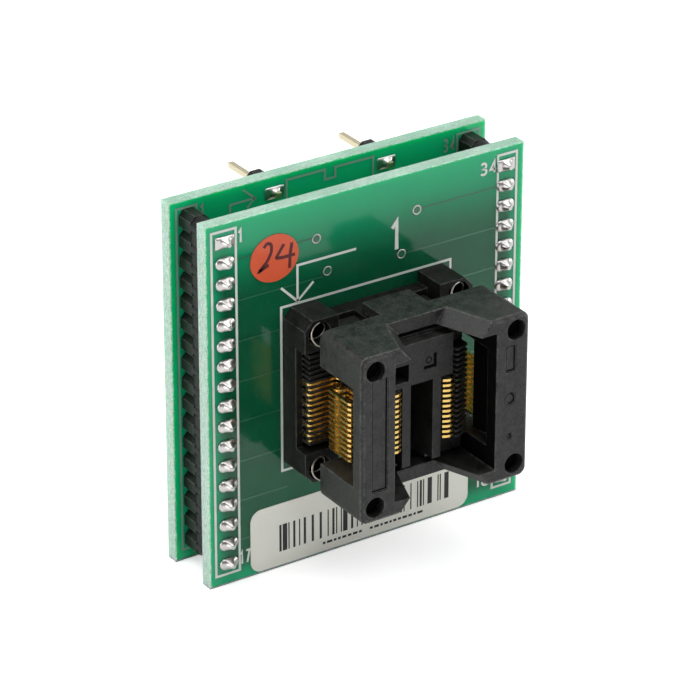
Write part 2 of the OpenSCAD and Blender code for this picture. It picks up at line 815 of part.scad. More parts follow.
module label() {
    color("ivory") stand() translate([label_x, label_low + label_h / 2 - board_h / 2, 0])
        linear_extrude(paper_t) rounded_plate(label_w, label_h, label_r);
}

front_board();
back_board();
front_pads();
back_pads();
pin_strip(-1);  // pin_strip_left
pin_strip(1);  // pin_strip_right
receptacle_strip(-1);  // receptacle_strip_left
receptacle_strip(1);  // receptacle_strip_right
header_pins(-1);  // header_pins_left
header_pins(1);  // header_pins_right
sleeves(-1);  // sleeves_left
sleeves(1);  // sleeves_right
front_solder();
back_solder();
dip_solder();
contact_solder();
dip_strip(-1);  // dip_strip_left
dip_strip(1);  // dip_strip_right
dip_pin_row(-1);  // dip_pins_left
dip_pin_row(1);  // dip_pins_right
socket_base();
chip_nest();
cover();
contact_stems(-1);  // contact_stems_left
contact_stems(1);  // contact_stems_right
contact_arms(-1);  // contact_arms_left
contact_arms(1);  // contact_arms_right
corner_spring(-1, -1);  // spring_lower_left
corner_spring(1, -1);  // spring_lower_right
corner_spring(-1, 1);  // spring_upper_left
corner_spring(1, 1);  // spring_upper_right
sticker();
label();
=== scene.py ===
# %% [markdown]
# # A test socket for small chips, on two stacked boards
# The object is an adapter: a black spring-loaded socket with gold contacts is soldered to a
# green board, two rows of pins join that board to a second one, and two rows of plug pins stand
# behind. The CAD model is the frame. This lesson dresses it: finishes for every part, printed
# lines, solder, springs and softened edges, and then a plain studio around it.

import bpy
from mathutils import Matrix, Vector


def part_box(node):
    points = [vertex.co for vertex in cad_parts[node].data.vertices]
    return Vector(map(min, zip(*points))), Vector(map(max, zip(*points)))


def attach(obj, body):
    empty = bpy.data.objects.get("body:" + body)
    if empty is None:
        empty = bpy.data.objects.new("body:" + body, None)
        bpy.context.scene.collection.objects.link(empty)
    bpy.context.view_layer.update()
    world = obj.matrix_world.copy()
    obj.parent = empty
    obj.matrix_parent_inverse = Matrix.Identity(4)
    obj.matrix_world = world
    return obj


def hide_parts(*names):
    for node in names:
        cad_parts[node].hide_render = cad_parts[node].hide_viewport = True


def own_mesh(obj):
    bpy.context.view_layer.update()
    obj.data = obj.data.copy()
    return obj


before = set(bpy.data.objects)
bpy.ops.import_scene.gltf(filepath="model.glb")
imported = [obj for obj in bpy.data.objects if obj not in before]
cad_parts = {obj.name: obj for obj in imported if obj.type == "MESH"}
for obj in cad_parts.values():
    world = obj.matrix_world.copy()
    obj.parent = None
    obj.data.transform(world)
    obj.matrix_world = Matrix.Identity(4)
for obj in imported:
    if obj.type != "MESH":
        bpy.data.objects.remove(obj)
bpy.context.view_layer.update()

# %% Tools
import math

import bmesh
import bpy
import numpy as np
from mathutils import Matrix, Vector

# %% [markdown]
# Places on the boards are easiest to say as a printer would: so far across, so far up from the
# boards' middle, and so far out from the front face. One function turns these into the model's
# own places, and every piece below goes through it, so nothing needs to be moved afterwards.

# %% Places on the front board
MM = 0.001
board_low, board_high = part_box("front_board")
rear_low, rear_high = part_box("back_board")
FACE_Y = board_low.y
MID_Z = (board_low.z + board_high.z) / 2


def on_bench(across, up, out):
    """Across, up and out in millimetres become x, minus y and z of the model, in metres."""
    across, up, out = np.broadcast_arrays(*(np.asarray(v, float) for v in (across, up, out)))
    return np.stack([across * MM, FACE_Y - out * MM, MID_Z + up * MM], axis=-1)


BACK_OUT = -(rear_low.y - FACE_Y) / MM
REAR_OUT = -(rear_high.y - FACE_Y) / MM
print("face at", round(FACE_Y, 6), "back board at", round(BACK_OUT, 3), round(REAR_OUT, 3))

# %% [markdown]
# Most new pieces are grids of points bent into shape. A grid needs only its rows and columns to
# know its faces, so one helper makes the faces of all of them, and another puts several shells
# into one mesh, turns their faces outwards and hands the piece to its body.


# %% Meshes from arrays
def grid_faces(rows, cols, close_rows=False, close_cols=False):
    """Quads between neighbours on a grid; a closed way joins its last line to its first."""
    i = np.arange(rows if close_rows else rows - 1)[:, None]
    j = np.arange(cols if close_cols else cols - 1)[None, :]
    i_next, j_next = (i + 1) % rows, (j + 1) % cols
    quads = [i * cols + j, i * cols + j_next, i_next * cols + j_next, i_next * cols + j]
    return np.stack(np.broadcast_arrays(*quads), axis=-1).reshape(-1, 4).tolist()


def joined(shells):
    """One list of points and one of faces out of many (points, faces) shells."""
    points, faces, start = [], [], 0
    for shell_points, shell_faces in shells:
        flat = np.asarray(shell_points, float).reshape(-1, 3)
        points.append(flat)
        faces.extend([[start + int(k) for k in face] for face in shell_faces])
        start += len(flat)
    return np.concatenate(points), faces


def add_piece(name, shells, finish, body="adapter", angle=40.0):
    """Makes one object of the shells, with outward faces, smooth up to the given edge angle."""
    points, faces = joined(shells)
    mesh = bpy.data.meshes.new(name)
    mesh.from_pydata(points.tolist(), [], faces)
    work = bmesh.new()
    work.from_mesh(mesh)
    bmesh.ops.remove_doubles(work, verts=work.verts, dist=1e-7)
    bmesh.ops.recalc_face_normals(work, faces=work.faces)
    work.to_mesh(mesh)
    work.free()
    mesh.polygons.foreach_set("use_smooth", np.ones(len(mesh.polygons), bool))
    mesh.set_sharp_from_angle(angle=math.radians(angle))
    piece = bpy.data.objects.new(name, mesh)
    bpy.context.scene.collection.objects.link(piece)
    mesh.materials.append(finish)
    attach(piece, body)
    print(name, len(mesh.polygons), "faces")
    return piece


# %% [markdown]
# Printed lines, wires and papers are three more shapes: a flat ribbon that follows a line with
# mitred corners, a round tube along a path, and a thin plate inside an outline.


# %% Ribbons, tubes and plates
def both_sides(line, width, closed=False):
    """Offsets a line to both sides by half the width over the cosine of half its turn."""
    line = np.asarray(line, float)
    ahead = np.roll(line, -1, axis=0) - line
    if not closed:
        ahead[-1] = ahead[-2]
    behind = np.roll(ahead, 1, axis=0)
    if not closed:
        behind[0] = ahead[0]
    unit = [v / np.linalg.norm(v, axis=1, keepdims=True) for v in (behind, ahead)]
    middle = unit[0] + unit[1]
    middle /= np.maximum(np.linalg.norm(middle, axis=1, keepdims=True), 1e-9)
    side = np.stack([-middle[:, 1], middle[:, 0]], axis=1)
    reach = width / 2 / np.maximum((middle * unit[1]).sum(1, keepdims=True), 0.4)
    return line + side * reach, line - side * reach


def strip_faces(count, closed=False):
    """Faces of a strip with four long edges, closed at its two ends."""
    faces = grid_faces(4, count, close_rows=True, close_cols=closed)
    if not closed:
        faces += [[0, count, 2 * count, 3 * count], [k * count + count - 1 for k in (3, 2, 1, 0)]]
    return faces


def ribbon(line, width, out, thick=0.02, closed=False):
    """A printed line: the two sides of a line on the face, at two heights."""
    left, right = both_sides(line, width, closed)
    edges = ((left, out), (left, out + thick), (right, out + thick), (right, out))
    points = np.stack([on_bench(p[:, 0], p[:, 1], h) for p, h in edges])
    return points, strip_faces(len(left), closed)


def tube(path, across, radius, sides=8):
    """Rings round a path, each square to it, starting on the side that across points to."""
    path = np.asarray(path, float)
    ahead = np.gradient(path, axis=0)
    ahead /= np.linalg.norm(ahead, axis=1, keepdims=True)
    side = across - (across * ahead).sum(1, keepdims=True) * ahead
    side /= np.linalg.norm(side, axis=1, keepdims=True)
    other = np.cross(ahead, side)
    turn = np.linspace(0, 2 * np.pi, sides, endpoint=False)[None, :, None]
    size = np.broadcast_to(np.asarray(radius, float), (len(path),))[:, None, None]
    rings = path[:, None] + size * (np.cos(turn) * side[:, None] + np.sin(turn) * other[:, None])
    count = len(path)
    faces = grid_faces(count, sides, close_cols=True)
    faces += [list(range(sides))[::-1], [(count - 1) * sides + k for k in range(sides)]]
    return rings, faces


def slab_faces(count):
    """Faces of two equal outlines: a wall between them and a lid on each."""
    faces = grid_faces(2, count, close_cols=True)
    return faces + [list(range(count))[::-1], [count + k for k in range(count)]]


def plate(outline, low, high):
    """A flat plate: the outline at two heights, joined by a wall and closed by two faces."""
    outline = np.asarray(outline, float)
    points = np.stack([on_bench(outline[:, 0], outline[:, 1], h) for h in (low, high)])
    return points, slab_faces(len(outline))


def bar(left, right, foot, head, low, high):
    """A plate with four square corners."""
    return plate([(left, foot), (right, foot), (right, head), (left, head)], low, high)


def disc(across, up, radius, low, high, sides=24):
    """A round plate: its outline is a circle."""
    turn = np.linspace(0, 2 * np.pi, sides, endpoint=False)
    outline = np.stack([across + radius * np.cos(turn), up + radius * np.sin(turn)], axis=1)
    return plate(outline, low, high)


# %% [markdown]
# Materials are written as arithmetic. A Wire stands for a value that changes over the surface,
# and adding, scaling or comparing wires adds the matching maths nodes. A Finish owns one
# material, and its node method makes every other node: settings first, then the values and links
# of its sockets.


# %% Arithmetic on sockets
class Wire:
    """A node's output that takes part in Python arithmetic."""

    def __init__(self, finish, socket):
        self.finish = finish
        self.socket = socket

    def maths(self, operation, first, second=0.0):
        return self.finish.node("Math", {"operation": operation}, {0: first, 1: second})

    def __add__(self, other):
        return self.maths("ADD", self, other)

    def __radd__(self, other):
        return self.maths("ADD", other, self)

    def __sub__(self, other):
        return self.maths("SUBTRACT", self, other)

    def __rsub__(self, other):
        return self.maths("SUBTRACT", other, self)

    def __mul__(self, other):
        return self.maths("MULTIPLY", self, other)

    def __rmul__(self, other):
        return self.maths("MULTIPLY", other, self)

    def __abs__(self):
        return self.maths("ABSOLUTE", self)

    def __lt__(self, other):
        return self.maths("LESS_THAN", self, other)

    def __gt__(self, other):
        return self.maths("GREATER_THAN", self, other)

    def least(self, other):
        return self.maths("MINIMUM", self, other)

    def most(self, other):
        return self.maths("MAXIMUM", self, other)

    def rise(self, low, high):
        """0 below low and 1 above high, with a smooth way between them."""
        return self.finish.node(
            "MapRange",
            {"interpolation_type": "SMOOTHSTEP"},
            {"Value": self, "From Min": low, "From Max": high, "To Min": 0.0, "To Max": 1.0},
        )


# %% One class for every finish
def shade(red, green, blue):
    """A colour named on the usual 0 to 255 screen scale, as linear light."""
    parts = np.array([red, green, blue]) / 255
    linear = np.where(parts <= 0.04045, parts / 12.92, ((parts + 0.055) / 1.055) ** 2.4)
    return (*linear.tolist(), 1.0)


class Finish:
    """One material, or the room's light, and the helpers that fill it."""

    def __init__(self, name, owner=None):
        self.material = owner or bpy.data.materials.new(name)
        self.material.use_nodes = True
        self.tree = self.material.node_tree
        self.tree.nodes.clear()

    def node(self, kind, settings=None, inputs=None, output=0):
        """Any node: its settings first, then the values and links of its sockets."""
        made = self.tree.nodes.new("ShaderNode" + kind)
        for key, value in (settings or {}).items():
            setattr(made, key, value)
        for key, value in (inputs or {}).items():
            if isinstance(value, Wire):
                self.tree.links.new(value.socket, made.inputs[key])
            else:
                made.inputs[key].default_value = value
        return Wire(self, made.outputs[output])

    def blend(self, mask, first, second):
        """The first colour where the mask is 0, the second where it is 1."""
        return self.node("Mix", {"data_type": "RGBA"}, {0: mask, 6: first, 7: second}, 2)

    def place(self):
        """The three coordinates of the point, in metres of the model."""
        where = self.node("TexCoord", output="Object")
        split = self.node("SeparateXYZ", inputs={0: where})
        outputs = split.socket.node.outputs
        return [Wire(self, outputs[k]) for k in range(3)]

    def noise(self, size, stretch=(1.0, 1.0, 1.0), detail=3.0, rough=0.5):
        """Clouds whose lumps are about the given size in millimetres, drawn out by stretch."""
        where = self.node("TexCoord", output="Object")
        scaled = self.node(
            "VectorMath", {"operation": "MULTIPLY"}, {0: where, 1: tuple(1 / s for s in stretch)}
        )
        inputs = {"Vector": scaled, "Scale": 1 / (size * MM), "Detail": detail, "Roughness": rough}
        return self.node("TexNoise", inputs=inputs)

    def surface(self, colour, roughness, metallic=0.0, height=None, rise=0.01, **fixed):
        """The one surface shader; height is a wire of bumps, rise their depth in millimetres."""
        inputs = {"Base Color": colour, "Roughness": roughness, "Metallic": metallic}
        for key, value in fixed.items():
            inputs[key.replace("_", " ").title().replace("Ior", "IOR")] = value
        if height is not None:
            bump = {"Strength": 1.0, "Distance": rise * MM, "Height": height}
            inputs["Normal"] = self.node("Bump", inputs=bump)
        shader = self.node("BsdfPrincipled", inputs=inputs)
        self.node_out(shader)
        print("finish", self.material.name, len(self.tree.nodes), "nodes")
        return self.material

    def node_out(self, shader, kind="OutputMaterial"):
        """The last node, which hands the shader over."""
        target = self.tree.nodes.new("ShaderNode" + kind)
        self.tree.links.new(shader.socket, target.inputs["Surface"])


# %% [markdown]
# ## The finishes
# The boards are glass cloth in resin under a clear green lacquer. The resin lets light in, so a
# board glows where light comes through from behind or in at its edges, and is deep green where
# nothing shines behind it. Light that scatters below the surface does part of that; the rest is
# painted into the colour, as a painted glow near the borders and painted shade in the middle. A
# clear coat adds the gloss of the lacquer. At the border the lacquer has chipped off and the pale
# cloth shows.


# %% Green board
FIBRE_DARK, FIBRE_LIGHT = shade(120, 160, 138), shade(214, 230, 219)
HAIR = 0.01 * MM  # a point nearer than this to a face counts as on it
CHIPPED = 0.36 * MM  # the widest strip of border without lacquer
# Painted light: the glow set by these three is painted into the board's colour.
PAINTED_SIDE_GLOW = (0.2 * MM, 3.0 * MM)  # full glow and none, measured from the sides and the foot
PAINTED_TOP_GLOW = (-1.0 * MM, 10.5 * MM)  # the same, measured from the head
WAVER = 3.0 * MM  # how far the glow from the head wanders
COAT = {"coat_roughness": 0.1, "coat_ior": 1.45}


def board_finish(name, low, high, deep, lit):
    """Green with painted shade in the middle and a painted glow near the borders, and pale cloth on
    the edges.
    """
    finish = Finish(name)
    x, y, z = finish.place()
    depth = abs(y - (low.y + high.y) / 2)
    edge = depth < (high.y - low.y) / 2 - HAIR
    to_side = (high.x - low.x) / 2 - abs(x)
    to_end = (high.z - low.z) / 2 - abs(z - (low.z + high.z) / 2)
    ragged = finish.noise(0.4, detail=5.0, rough=0.65) * CHIPPED
    border = 1 - (to_side.least(to_end) - ragged).rise(-3 * HAIR, 3 * HAIR)
    bare = edge.most(border)
    cloud = finish.noise(7.0, detail=2.0)
    specks = finish.noise(0.22, detail=1.0).rise(0.76, 0.82)
    # Painted light: the green is lighter near the sides, the foot and the head (painted glow) and
    # darker in the middle (painted shade).
    lower = (z - low.z).least(to_side)
    painted_side_glow = 1 - lower.rise(*PAINTED_SIDE_GLOW)
    painted_top_glow = 1 - ((high.z - z) + (cloud - 0.5) * WAVER).rise(*PAINTED_TOP_GLOW)
    glow = painted_side_glow.most(painted_top_glow)
    green = finish.blend(glow * 0.85 + cloud * 0.15, deep, lit)
    green = finish.blend(specks * 0.3, green, (0.3, 0.55, 0.4, 1))
    layers = finish.noise(0.13, stretch=(5.0, 1.0, 5.0), detail=3.0)
    salt = finish.noise(0.15, detail=3.0, rough=0.7)
    # The pale cloth on the top edges is darker in patches.
    crown_patches = finish.noise(9.0, detail=1.0).rise(0.35, 0.6) * 0.3 + 0.3
    crown = (z > high.z - HAIR) * crown_patches
    pale = (salt * 0.6 + layers * 0.4).rise(0.3, 0.7)
    fibre = finish.blend(pale * (1 - crown), FIBRE_DARK, FIBRE_LIGHT)
    colour = finish.blend(bare, green, fibre)
    peel = finish.noise(0.9, detail=2.0)
    return finish.surface(
        colour,
        0.65,
        0.0,
        height=peel * (1 - bare) + bare * salt * 4.0,
        rise=0.005,
        specular_ior_level=0.05,
        coat_weight=1 - bare,
        subsurface_weight=1.0,
        subsurface_radius=(0.5, 1.6, 0.9),
        subsurface_scale=MM,
        **COAT,
    )


# Painted light: a painted shade tone and a painted glow tone for each board; the back board's are
# painted lighter, which stands for light coming through it from behind.
DEEP_FRONT, LIT_FRONT = (0.002, 0.085, 0.033, 1), (0.006, 0.50, 0.22, 1)
DEEP_REAR, LIT_REAR = (0.002, 0.42, 0.15, 1), (0.006, 0.62, 0.26, 1)
board_green = board_finish("board_green_front", board_low, board_high, DEEP_FRONT, LIT_FRONT)
rear_green = board_finish("board_green_back", rear_low, rear_high, DEEP_REAR, LIT_REAR)

# %% [markdown]
# Tracks are copper lines under the same lacquer. Here they are thin ribbons that stand a hair
# above the face, in a slightly brighter green with some metal in it.


# %% Tracks under lacquer
def track_finish():
    """The board's green with copper in it."""
    finish = Finish("track_green")
    cloud = finish.noise(5.0)
    colour = finish.blend(cloud, (0.004, 0.12, 0.05, 1), (0.01, 0.18, 0.08, 1))
    return finish.surface(colour, cloud * 0.1 + 0.4, 0.2, coat_weight=1.0, **COAT)


track_green = track_finish()

# %% [markdown]
# Solder and tin are mirror-like metals with a faint frosting. Their shapes do most of the work;
# the finish only breaks the reflections a little, with soft ripples and dull patches where flux
# sat.


# %% Solder and tin
def bright_metal(name, dark, light, dull, ripple, size):
    """A metal between two tones, dull patches of the given size, and ripples of the given depth."""
    finish = Finish(name)
    patch = finish.noise(size, detail=3.0)
    fine = finish.noise(size / 6, detail=2.0)
    colour = finish.blend(patch, dark, light)
    rough = patch.rise(0.45, 0.75) * 0.08 + fine * 0.06 + dull
    if not ripple:
        return finish.surface(colour, rough, 1.0)
    return finish.surface(colour, rough, 1.0, height=patch + fine * 0.3, rise=ripple)


# Dark tone, light tone, dullness, depth of the ripples, size of the dull patches.
METALS = {
    "solder": ((0.60, 0.57, 0.55, 1), (0.76, 0.73, 0.71, 1), 0.27, 0.002, 0.5),
    "tin": ((0.55, 0.54, 0.51, 1), (0.72, 0.71, 0.68, 1), 0.3, 0.004, 0.5),
    "spring_steel": ((0.46, 0.43, 0.36, 1), (0.66, 0.62, 0.54, 1), 0.3, 0, 0.3),
    "pin_gold": ((0.74, 0.66, 0.44, 1), (0.86, 0.79, 0.57, 1), 0.32, 0.003, 0.4),
    "contact_gold": ((0.84, 0.50, 0.11, 1), (0.98, 0.72, 0.26, 1), 0.24, 0, 0.6),
}
solder, tin, spring_steel, pin_gold, contact_gold = (
    bright_metal(name, *values) for name, values in METALS.items()
)

# %% [markdown]
# The black plastics are glass-filled, so they have a fine grain rather than a flat surface. The
# cover and the nest are a touch greyer and glossier than the base, and the pin strips are the
# smoothest. Rounded edges get a paler tone, a painted highlight, and the cover's walls that face
# inwards get a near-black one, painted shade.


# %% Black plastics
def moulded(name, dark, light, rough, rise, shine):
    """Two close tones in blotches, a grain in height and gloss, and a few pale specks of dust."""
    finish = Finish(name)
    grain = finish.noise(0.3, detail=4.0, rough=0.7)
    blotch = finish.noise(1.3, detail=4.0, rough=0.65)
    dust = finish.noise(0.16, detail=1.0).rise(0.755, 0.80)
    mix = (grain * 0.55 + blotch * 0.45).rise(0.36, 0.64)
    colour = finish.blend(mix, dark, light)
    colour = finish.blend(dust * 0.35, colour, (0.3, 0.3, 0.28, 1))
    roughness = (grain - 0.5) * 0.35 + (blotch - 0.5) * 0.3 + rough
    return finish.surface(colour, roughness, 0.0, height=grain, rise=rise, specular_ior_level=shine)


# Dark tone, light tone, roughness, depth of the grain, shine.
PLASTICS = {
    "cover_black": ((0.002, 0.0025, 0.002, 1), (0.030, 0.031, 0.028, 1), 0.46, 0.05, 0.4),
    "base_black": ((0.002, 0.0025, 0.002, 1), (0.016, 0.016, 0.014, 1), 0.5, 0.04, 0.25),
    "nest_black": ((0.004, 0.004, 0.0035, 1), (0.026, 0.026, 0.024, 1), 0.48, 0.04, 0.4),
    "strip_black": ((0.002, 0.003, 0.002, 1), (0.010, 0.010, 0.009, 1), 0.36, 0.03, 0.28),
    # The last two rows are painted light: the near-black paints shade, and the paler tone paints a
    # highlight on rounded edges.
    "shadow_black": ((0.001, 0.001, 0.001, 1), (0.003, 0.003, 0.003, 1), 0.8, 0.004, 0.05),
    "painted_edge_highlight": ((0.006, 0.006, 0.006, 1), (0.07, 0.07, 0.066, 1), 0.42, 0.03, 0.4),
}
cover_black, base_black, nest_black, strip_black, shadow_black, painted_edge_highlight = (
    moulded(name, *values) for name, values in PLASTICS.items()
)

# %% [markdown]
# Papers and ink. The round sticker is fluorescent orange paper with pen on it, the wide label is
# coated white paper, and the printed lines are thick white ink that lets a little green through.


# %% Papers and ink
def paper(name, dark, light, rough, coat, size=0.25):
    """Soft fibres in two tones, under a thin coat."""
    finish = Finish(name)
    fibre = finish.noise(size, detail=4.0, rough=0.6)
    wide = finish.noise(4.0, detail=1.0)
    colour = finish.blend(fibre * 0.5 + wide * 0.5, dark, light)
    gloss = fibre * 0.1 + rough
    return finish.surface(colour, gloss, 0.0, height=fibre, rise=0.004, coat_weight=coat)


orange_paper = paper("orange_paper", shade(212, 78, 40), shade(234, 100, 58), 0.4, 0.3)
white_paper = paper("white_paper", shade(232, 231, 219), shade(251, 250, 240), 0.4, 0.2)
label_ink = paper("label_ink", shade(22, 22, 24), shade(40, 40, 42), 0.45, 0.2)
pen_ink = paper("pen_ink", shade(78, 22, 24), shade(106, 34, 32), 0.5, 0.1)
faint_ink = paper("faint_ink", shade(120, 164, 140), shade(150, 188, 166), 0.45, 0.15, 0.12)
board_ink = paper("board_ink", shade(206, 214, 204), shade(240, 243, 236), 0.45, 0.15, 0.12)

# %% [markdown]
# ## The parts
# CAD parts whose shape is already right only need their finish. The header sleeves are gold
# inside the boards, but their ends in front are covered in solder. Parts that get a finer shape
# further down are dressed here too.


# %% Finishes on the CAD parts
def dress(finish, *names):
    """Puts one material on CAD nodes."""
    for name in names:
        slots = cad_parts[name].data.materials
        slots.clear()
        slots.append(finish)


def both(*names):
    """The left and the right node of each name."""
    return [name + side for name in names for side in ("_left", "_right")]


dress(board_green, "front_board")
dress(rear_green, "back_board")
dress(tin, "front_pads", "back_pads")
dress(solder, "front_solder", "back_solder", "dip_solder", "contact_solder", *both("sleeves"))
dress(pin_gold, *both("header_pins", "dip_pins"))
dress(contact_gold, *both("contact_stems", "contact_arms"))
dress(strip_black, *both("pin_strip", "dip_strip", "receptacle_strip"))
dress(base_black, "socket_base", "chip_nest")
dress(cover_black, "cover")
dress(spring_steel, *both("spring_lower", "spring_upper"))
dress(orange_paper, "sticker")
dress(white_paper, "label")

# %% [markdown]
# Moulded plastic never has a knife edge. A copy of the CAD mesh, merged into one skin, gets a
# narrow rounded edge wherever two faces meet at more than a shallow angle, and then stands for
# the CAD part.


# %% Softened copies
def softened(node, width, finish, body="adapter", segments=2, angle=30.0, dull=None):
    """Merges triangles, joins flat neighbours, rounds edges; dull picks the faces painted in shade.
    """
    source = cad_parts[node].data
    work = bmesh.new()
    work.from_mesh(source)
    bmesh.ops.remove_doubles(work, verts=work.verts, dist=2e-6)
    flat = math.radians(1.0)
    bmesh.ops.dissolve_limit(work, angle_limit=flat, verts=work.verts, edges=work.edges)
    mesh = bpy.data.meshes.new(node + "_soft")
    work.to_mesh(mesh)
    work.free()
    plain = bpy.data.meshes.new(node + "_skin")
    faces = [list(face.vertices) for face in mesh.polygons]
    plain.from_pydata([point.co[:] for point in mesh.vertices], [], faces)
    bpy.data.meshes.remove(mesh)
    plain.polygons.foreach_set("use_smooth", np.ones(len(plain.polygons), bool))
    for material in (finish, painted_edge_highlight, shadow_black):
        plain.materials.append(material)
    # The faces that dull picks take the third material, painted shade.
    for face in plain.polygons:
        if dull and dull(face.center, face.normal):
            face.material_index = 2
    piece = bpy.data.objects.new(node + "_soft", plain)
    bpy.context.scene.collection.objects.link(piece)
    bevel = piece.modifiers.new("edge", "BEVEL")
    bevel.width = width * MM
    bevel.segments = segments
    bevel.limit_method = "ANGLE"
    bevel.angle_limit = math.radians(angle)
    bevel.use_clamp_overlap = False
    # The rounded edges take the second material, a painted highlight.
    bevel.material = 1
    bevel.harden_normals = True
    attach(piece, body)
    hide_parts(node)
    print(piece.name, len(plain.polygons), "faces before rounding")


# The cover's walls inside its frame that face the middle get painted shade.
def looks_inwards(centre, normal):
    """True on a wall inside the frame of the cover that faces the middle."""
    return abs(centre.x) < 9.6 * MM and normal.x * centre.x < -0.9 * abs(centre.x)


softened("cover", 0.14, cover_black, body="cover", dull=looks_inwards)
softened("socket_base", 0.07, base_black)
softened("chip_nest", 0.06, nest_black)
for side in ("left", "right"):
    softened("pin_strip_" + side, 0.05, strip_black, segments=1)
    softened("dip_strip_" + side, 0.05, strip_black, segments=1)

# %% [markdown]
# ## Springs
# Each spring is a wire wound on a helix with its first and last turns closed up, as the maker
# grinds them flat.

# %% Four coil springs
COIL_R, WIRE_R, TURNS = 1.2, 0.105, 7.5
FLARE = 0.12  # how much wider the front turn is


def coil(low, high):
    """Height rises evenly in the middle turns and hardly at all in the first and last turn."""
    turn = np.linspace(0, 1, int(TURNS * 24) + 1)
    ends = 0.9 / TURNS
    share = np.clip((turn - ends) / (1 - 2 * ends), 0, 1)
    wire = 2 * WIRE_R * 1.02 / (high - low - 2 * WIRE_R)
    first, last = np.clip(turn / ends, 0, 1), np.clip((turn - 1 + ends) / ends, 0, 1)
    lift = wire * first + (1 - 2 * wire) * share + wire * last
    angle = 2 * np.pi * TURNS * turn
    wide = COIL_R + FLARE * np.clip((turn - 1 + 1.6 * ends) / (0.6 * ends), 0, 1)
    height = low + WIRE_R + (high - low - 2 * WIRE_R) * lift
    return wide * np.cos(angle), wide * np.sin(angle), height


for name in sorted(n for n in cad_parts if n.startswith("spring_")):
    low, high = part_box(name)
    centre = ((low.x + high.x) / 2 / MM, ((low.z + high.z) / 2 - MID_Z) / MM)
    inner, outer = (FACE_Y - high.y) / MM, (FACE_Y - low.y) / MM
    across, up, out = coil(inner, outer)
    path = on_bench(centre[0] + across, centre[1] + up, out)
    wire = tube(path, np.array([0.0, 1.0, 0.0]), WIRE_R * MM)
    piece = add_piece(name + "_wire", [wire], spring_steel)
    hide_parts(name)
    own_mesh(piece)

# %% [markdown]
# ## Contacts
# Each contact is stamped from thin sheet and bent: a stem rises from the board, and its arm
# carries a waved nose that holds the chip's lead and a lever that the cover pushes. A strip that
# follows a line with rounded corners gives the bends their bright glint, which a square corner
# never has.


# %% Stamped strips
SHEET = 0.3


def arc(cx, cy, rx, ry, start, end, count=9):
    """Points on an ellipse between two angles in degrees."""
    turn = np.radians(np.linspace(start, end, count))
    return np.stack([cx + rx * np.cos(turn), cy + ry * np.sin(turn)], axis=1).tolist()


def rounded(line, radius, steps=5):
    """Each corner becomes a quadratic curve that starts and ends a given distance from it."""
    line = np.asarray(line, float)
    corner = line[1:-1]

    def towards(target):
        reach = target - corner
        length = np.linalg.norm(reach, axis=1, keepdims=True)
        return (corner + reach / length * np.minimum(radius, 0.45 * length))[:, None]

    t = np.linspace(0, 1, steps)[None, :, None]
    leave, meet = (1 - t) ** 2 * towards(line[:-2]), t**2 * towards(line[2:])
    curve = leave + 2 * t * (1 - t) * corner[:, None] + meet
    return np.concatenate([line[:1], curve.reshape(-1, 2), line[-1:]])


def stamping(line, width, up, side):
    """A strip across the boards: the two sides of a line, as thick upwards as the sheet."""
    left, right = both_sides(line, width)
    edges = ((left, -SHEET / 2), (left, SHEET / 2), (right, SHEET / 2), (right, -SHEET / 2))
    points = np.stack([on_bench(side * p[:, 0], up + h, p[:, 1]) for p, h in edges])
    return points, strip_faces(len(left))


# %% Arms and levers
STRAND, LEVER_W, BEND_R = 0.3, 0.46, 0.8
HALF = 11.45  # half the width of the base
LEG, TAIL, LOOP = HALF - 1.1, HALF - 3.05, HALF - 4.15
NOSE = [(2.9, 10.99), (3.15, 11.13), (3.52, 11.29), (3.95, 11.26), (4.35, 11.08), (4.6, 10.7)]
TO_BEND = [(4.55, 8.9), (LOOP, 8.9), (LOOP, 6.9), (LOOP + 0.36, 6.9)]
bend = arc(LOOP + 0.36, 6.1, BEND_R, BEND_R, 90, -90, 13)
ARM = np.concatenate([rounded(NOSE + TO_BEND, 0.3), bend[1:]])
LEVER_X = LOOP + 1.8
HOOK = [(LEVER_X, 10.0), (LEVER_X - 0.16, 10.25)]
LEVER = rounded([(LOOP + 1.16, 6.1), (LEVER_X, 6.1)] + HOOK, 0.14)
low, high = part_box("contact_arms_left")
slots = (np.linspace(low.z, high.z - SHEET * MM, 12) - MID_Z) / MM + SHEET / 2
for name, side in (("left", -1), ("right", 1)):
    arms = [stamping(ARM, STRAND, up, side) for up in slots]
    arms += [stamping(LEVER, LEVER_W, up, side) for up in slots]
    piece = add_piece("arms_" + name, arms, contact_gold, name + "_arms", 50)
    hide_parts("contact_arms_" + name)
    stems = []
    foot = rounded([(LEG, 2.0), (LEG, 3.7), (LOOP, 3.7)], 0.45)
    for k, up in enumerate(slots):
        tail = LEG if k % 2 == 0 else TAIL
        loop = arc(LOOP, 4.5, BEND_R, BEND_R, 270, 90, 11)
        stems.append(stamping(foot, STRAND, up, side))
        stems.append(stamping(loop + [(LOOP + 0.3, 5.3)], STRAND, up, side))
        stems.append(stamping([(tail, -2.6), (tail, 3.6)], STRAND, up, side))
    piece = add_piece("stems_" + name, stems, contact_gold, angle=50)
    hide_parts("contact_stems_" + name)

# %% [markdown]
# The fins between the contacts aren't flat on top: each rises in a low hook beside the noses and
# runs down to the outside. A thin crest on every fin gives them that wave.

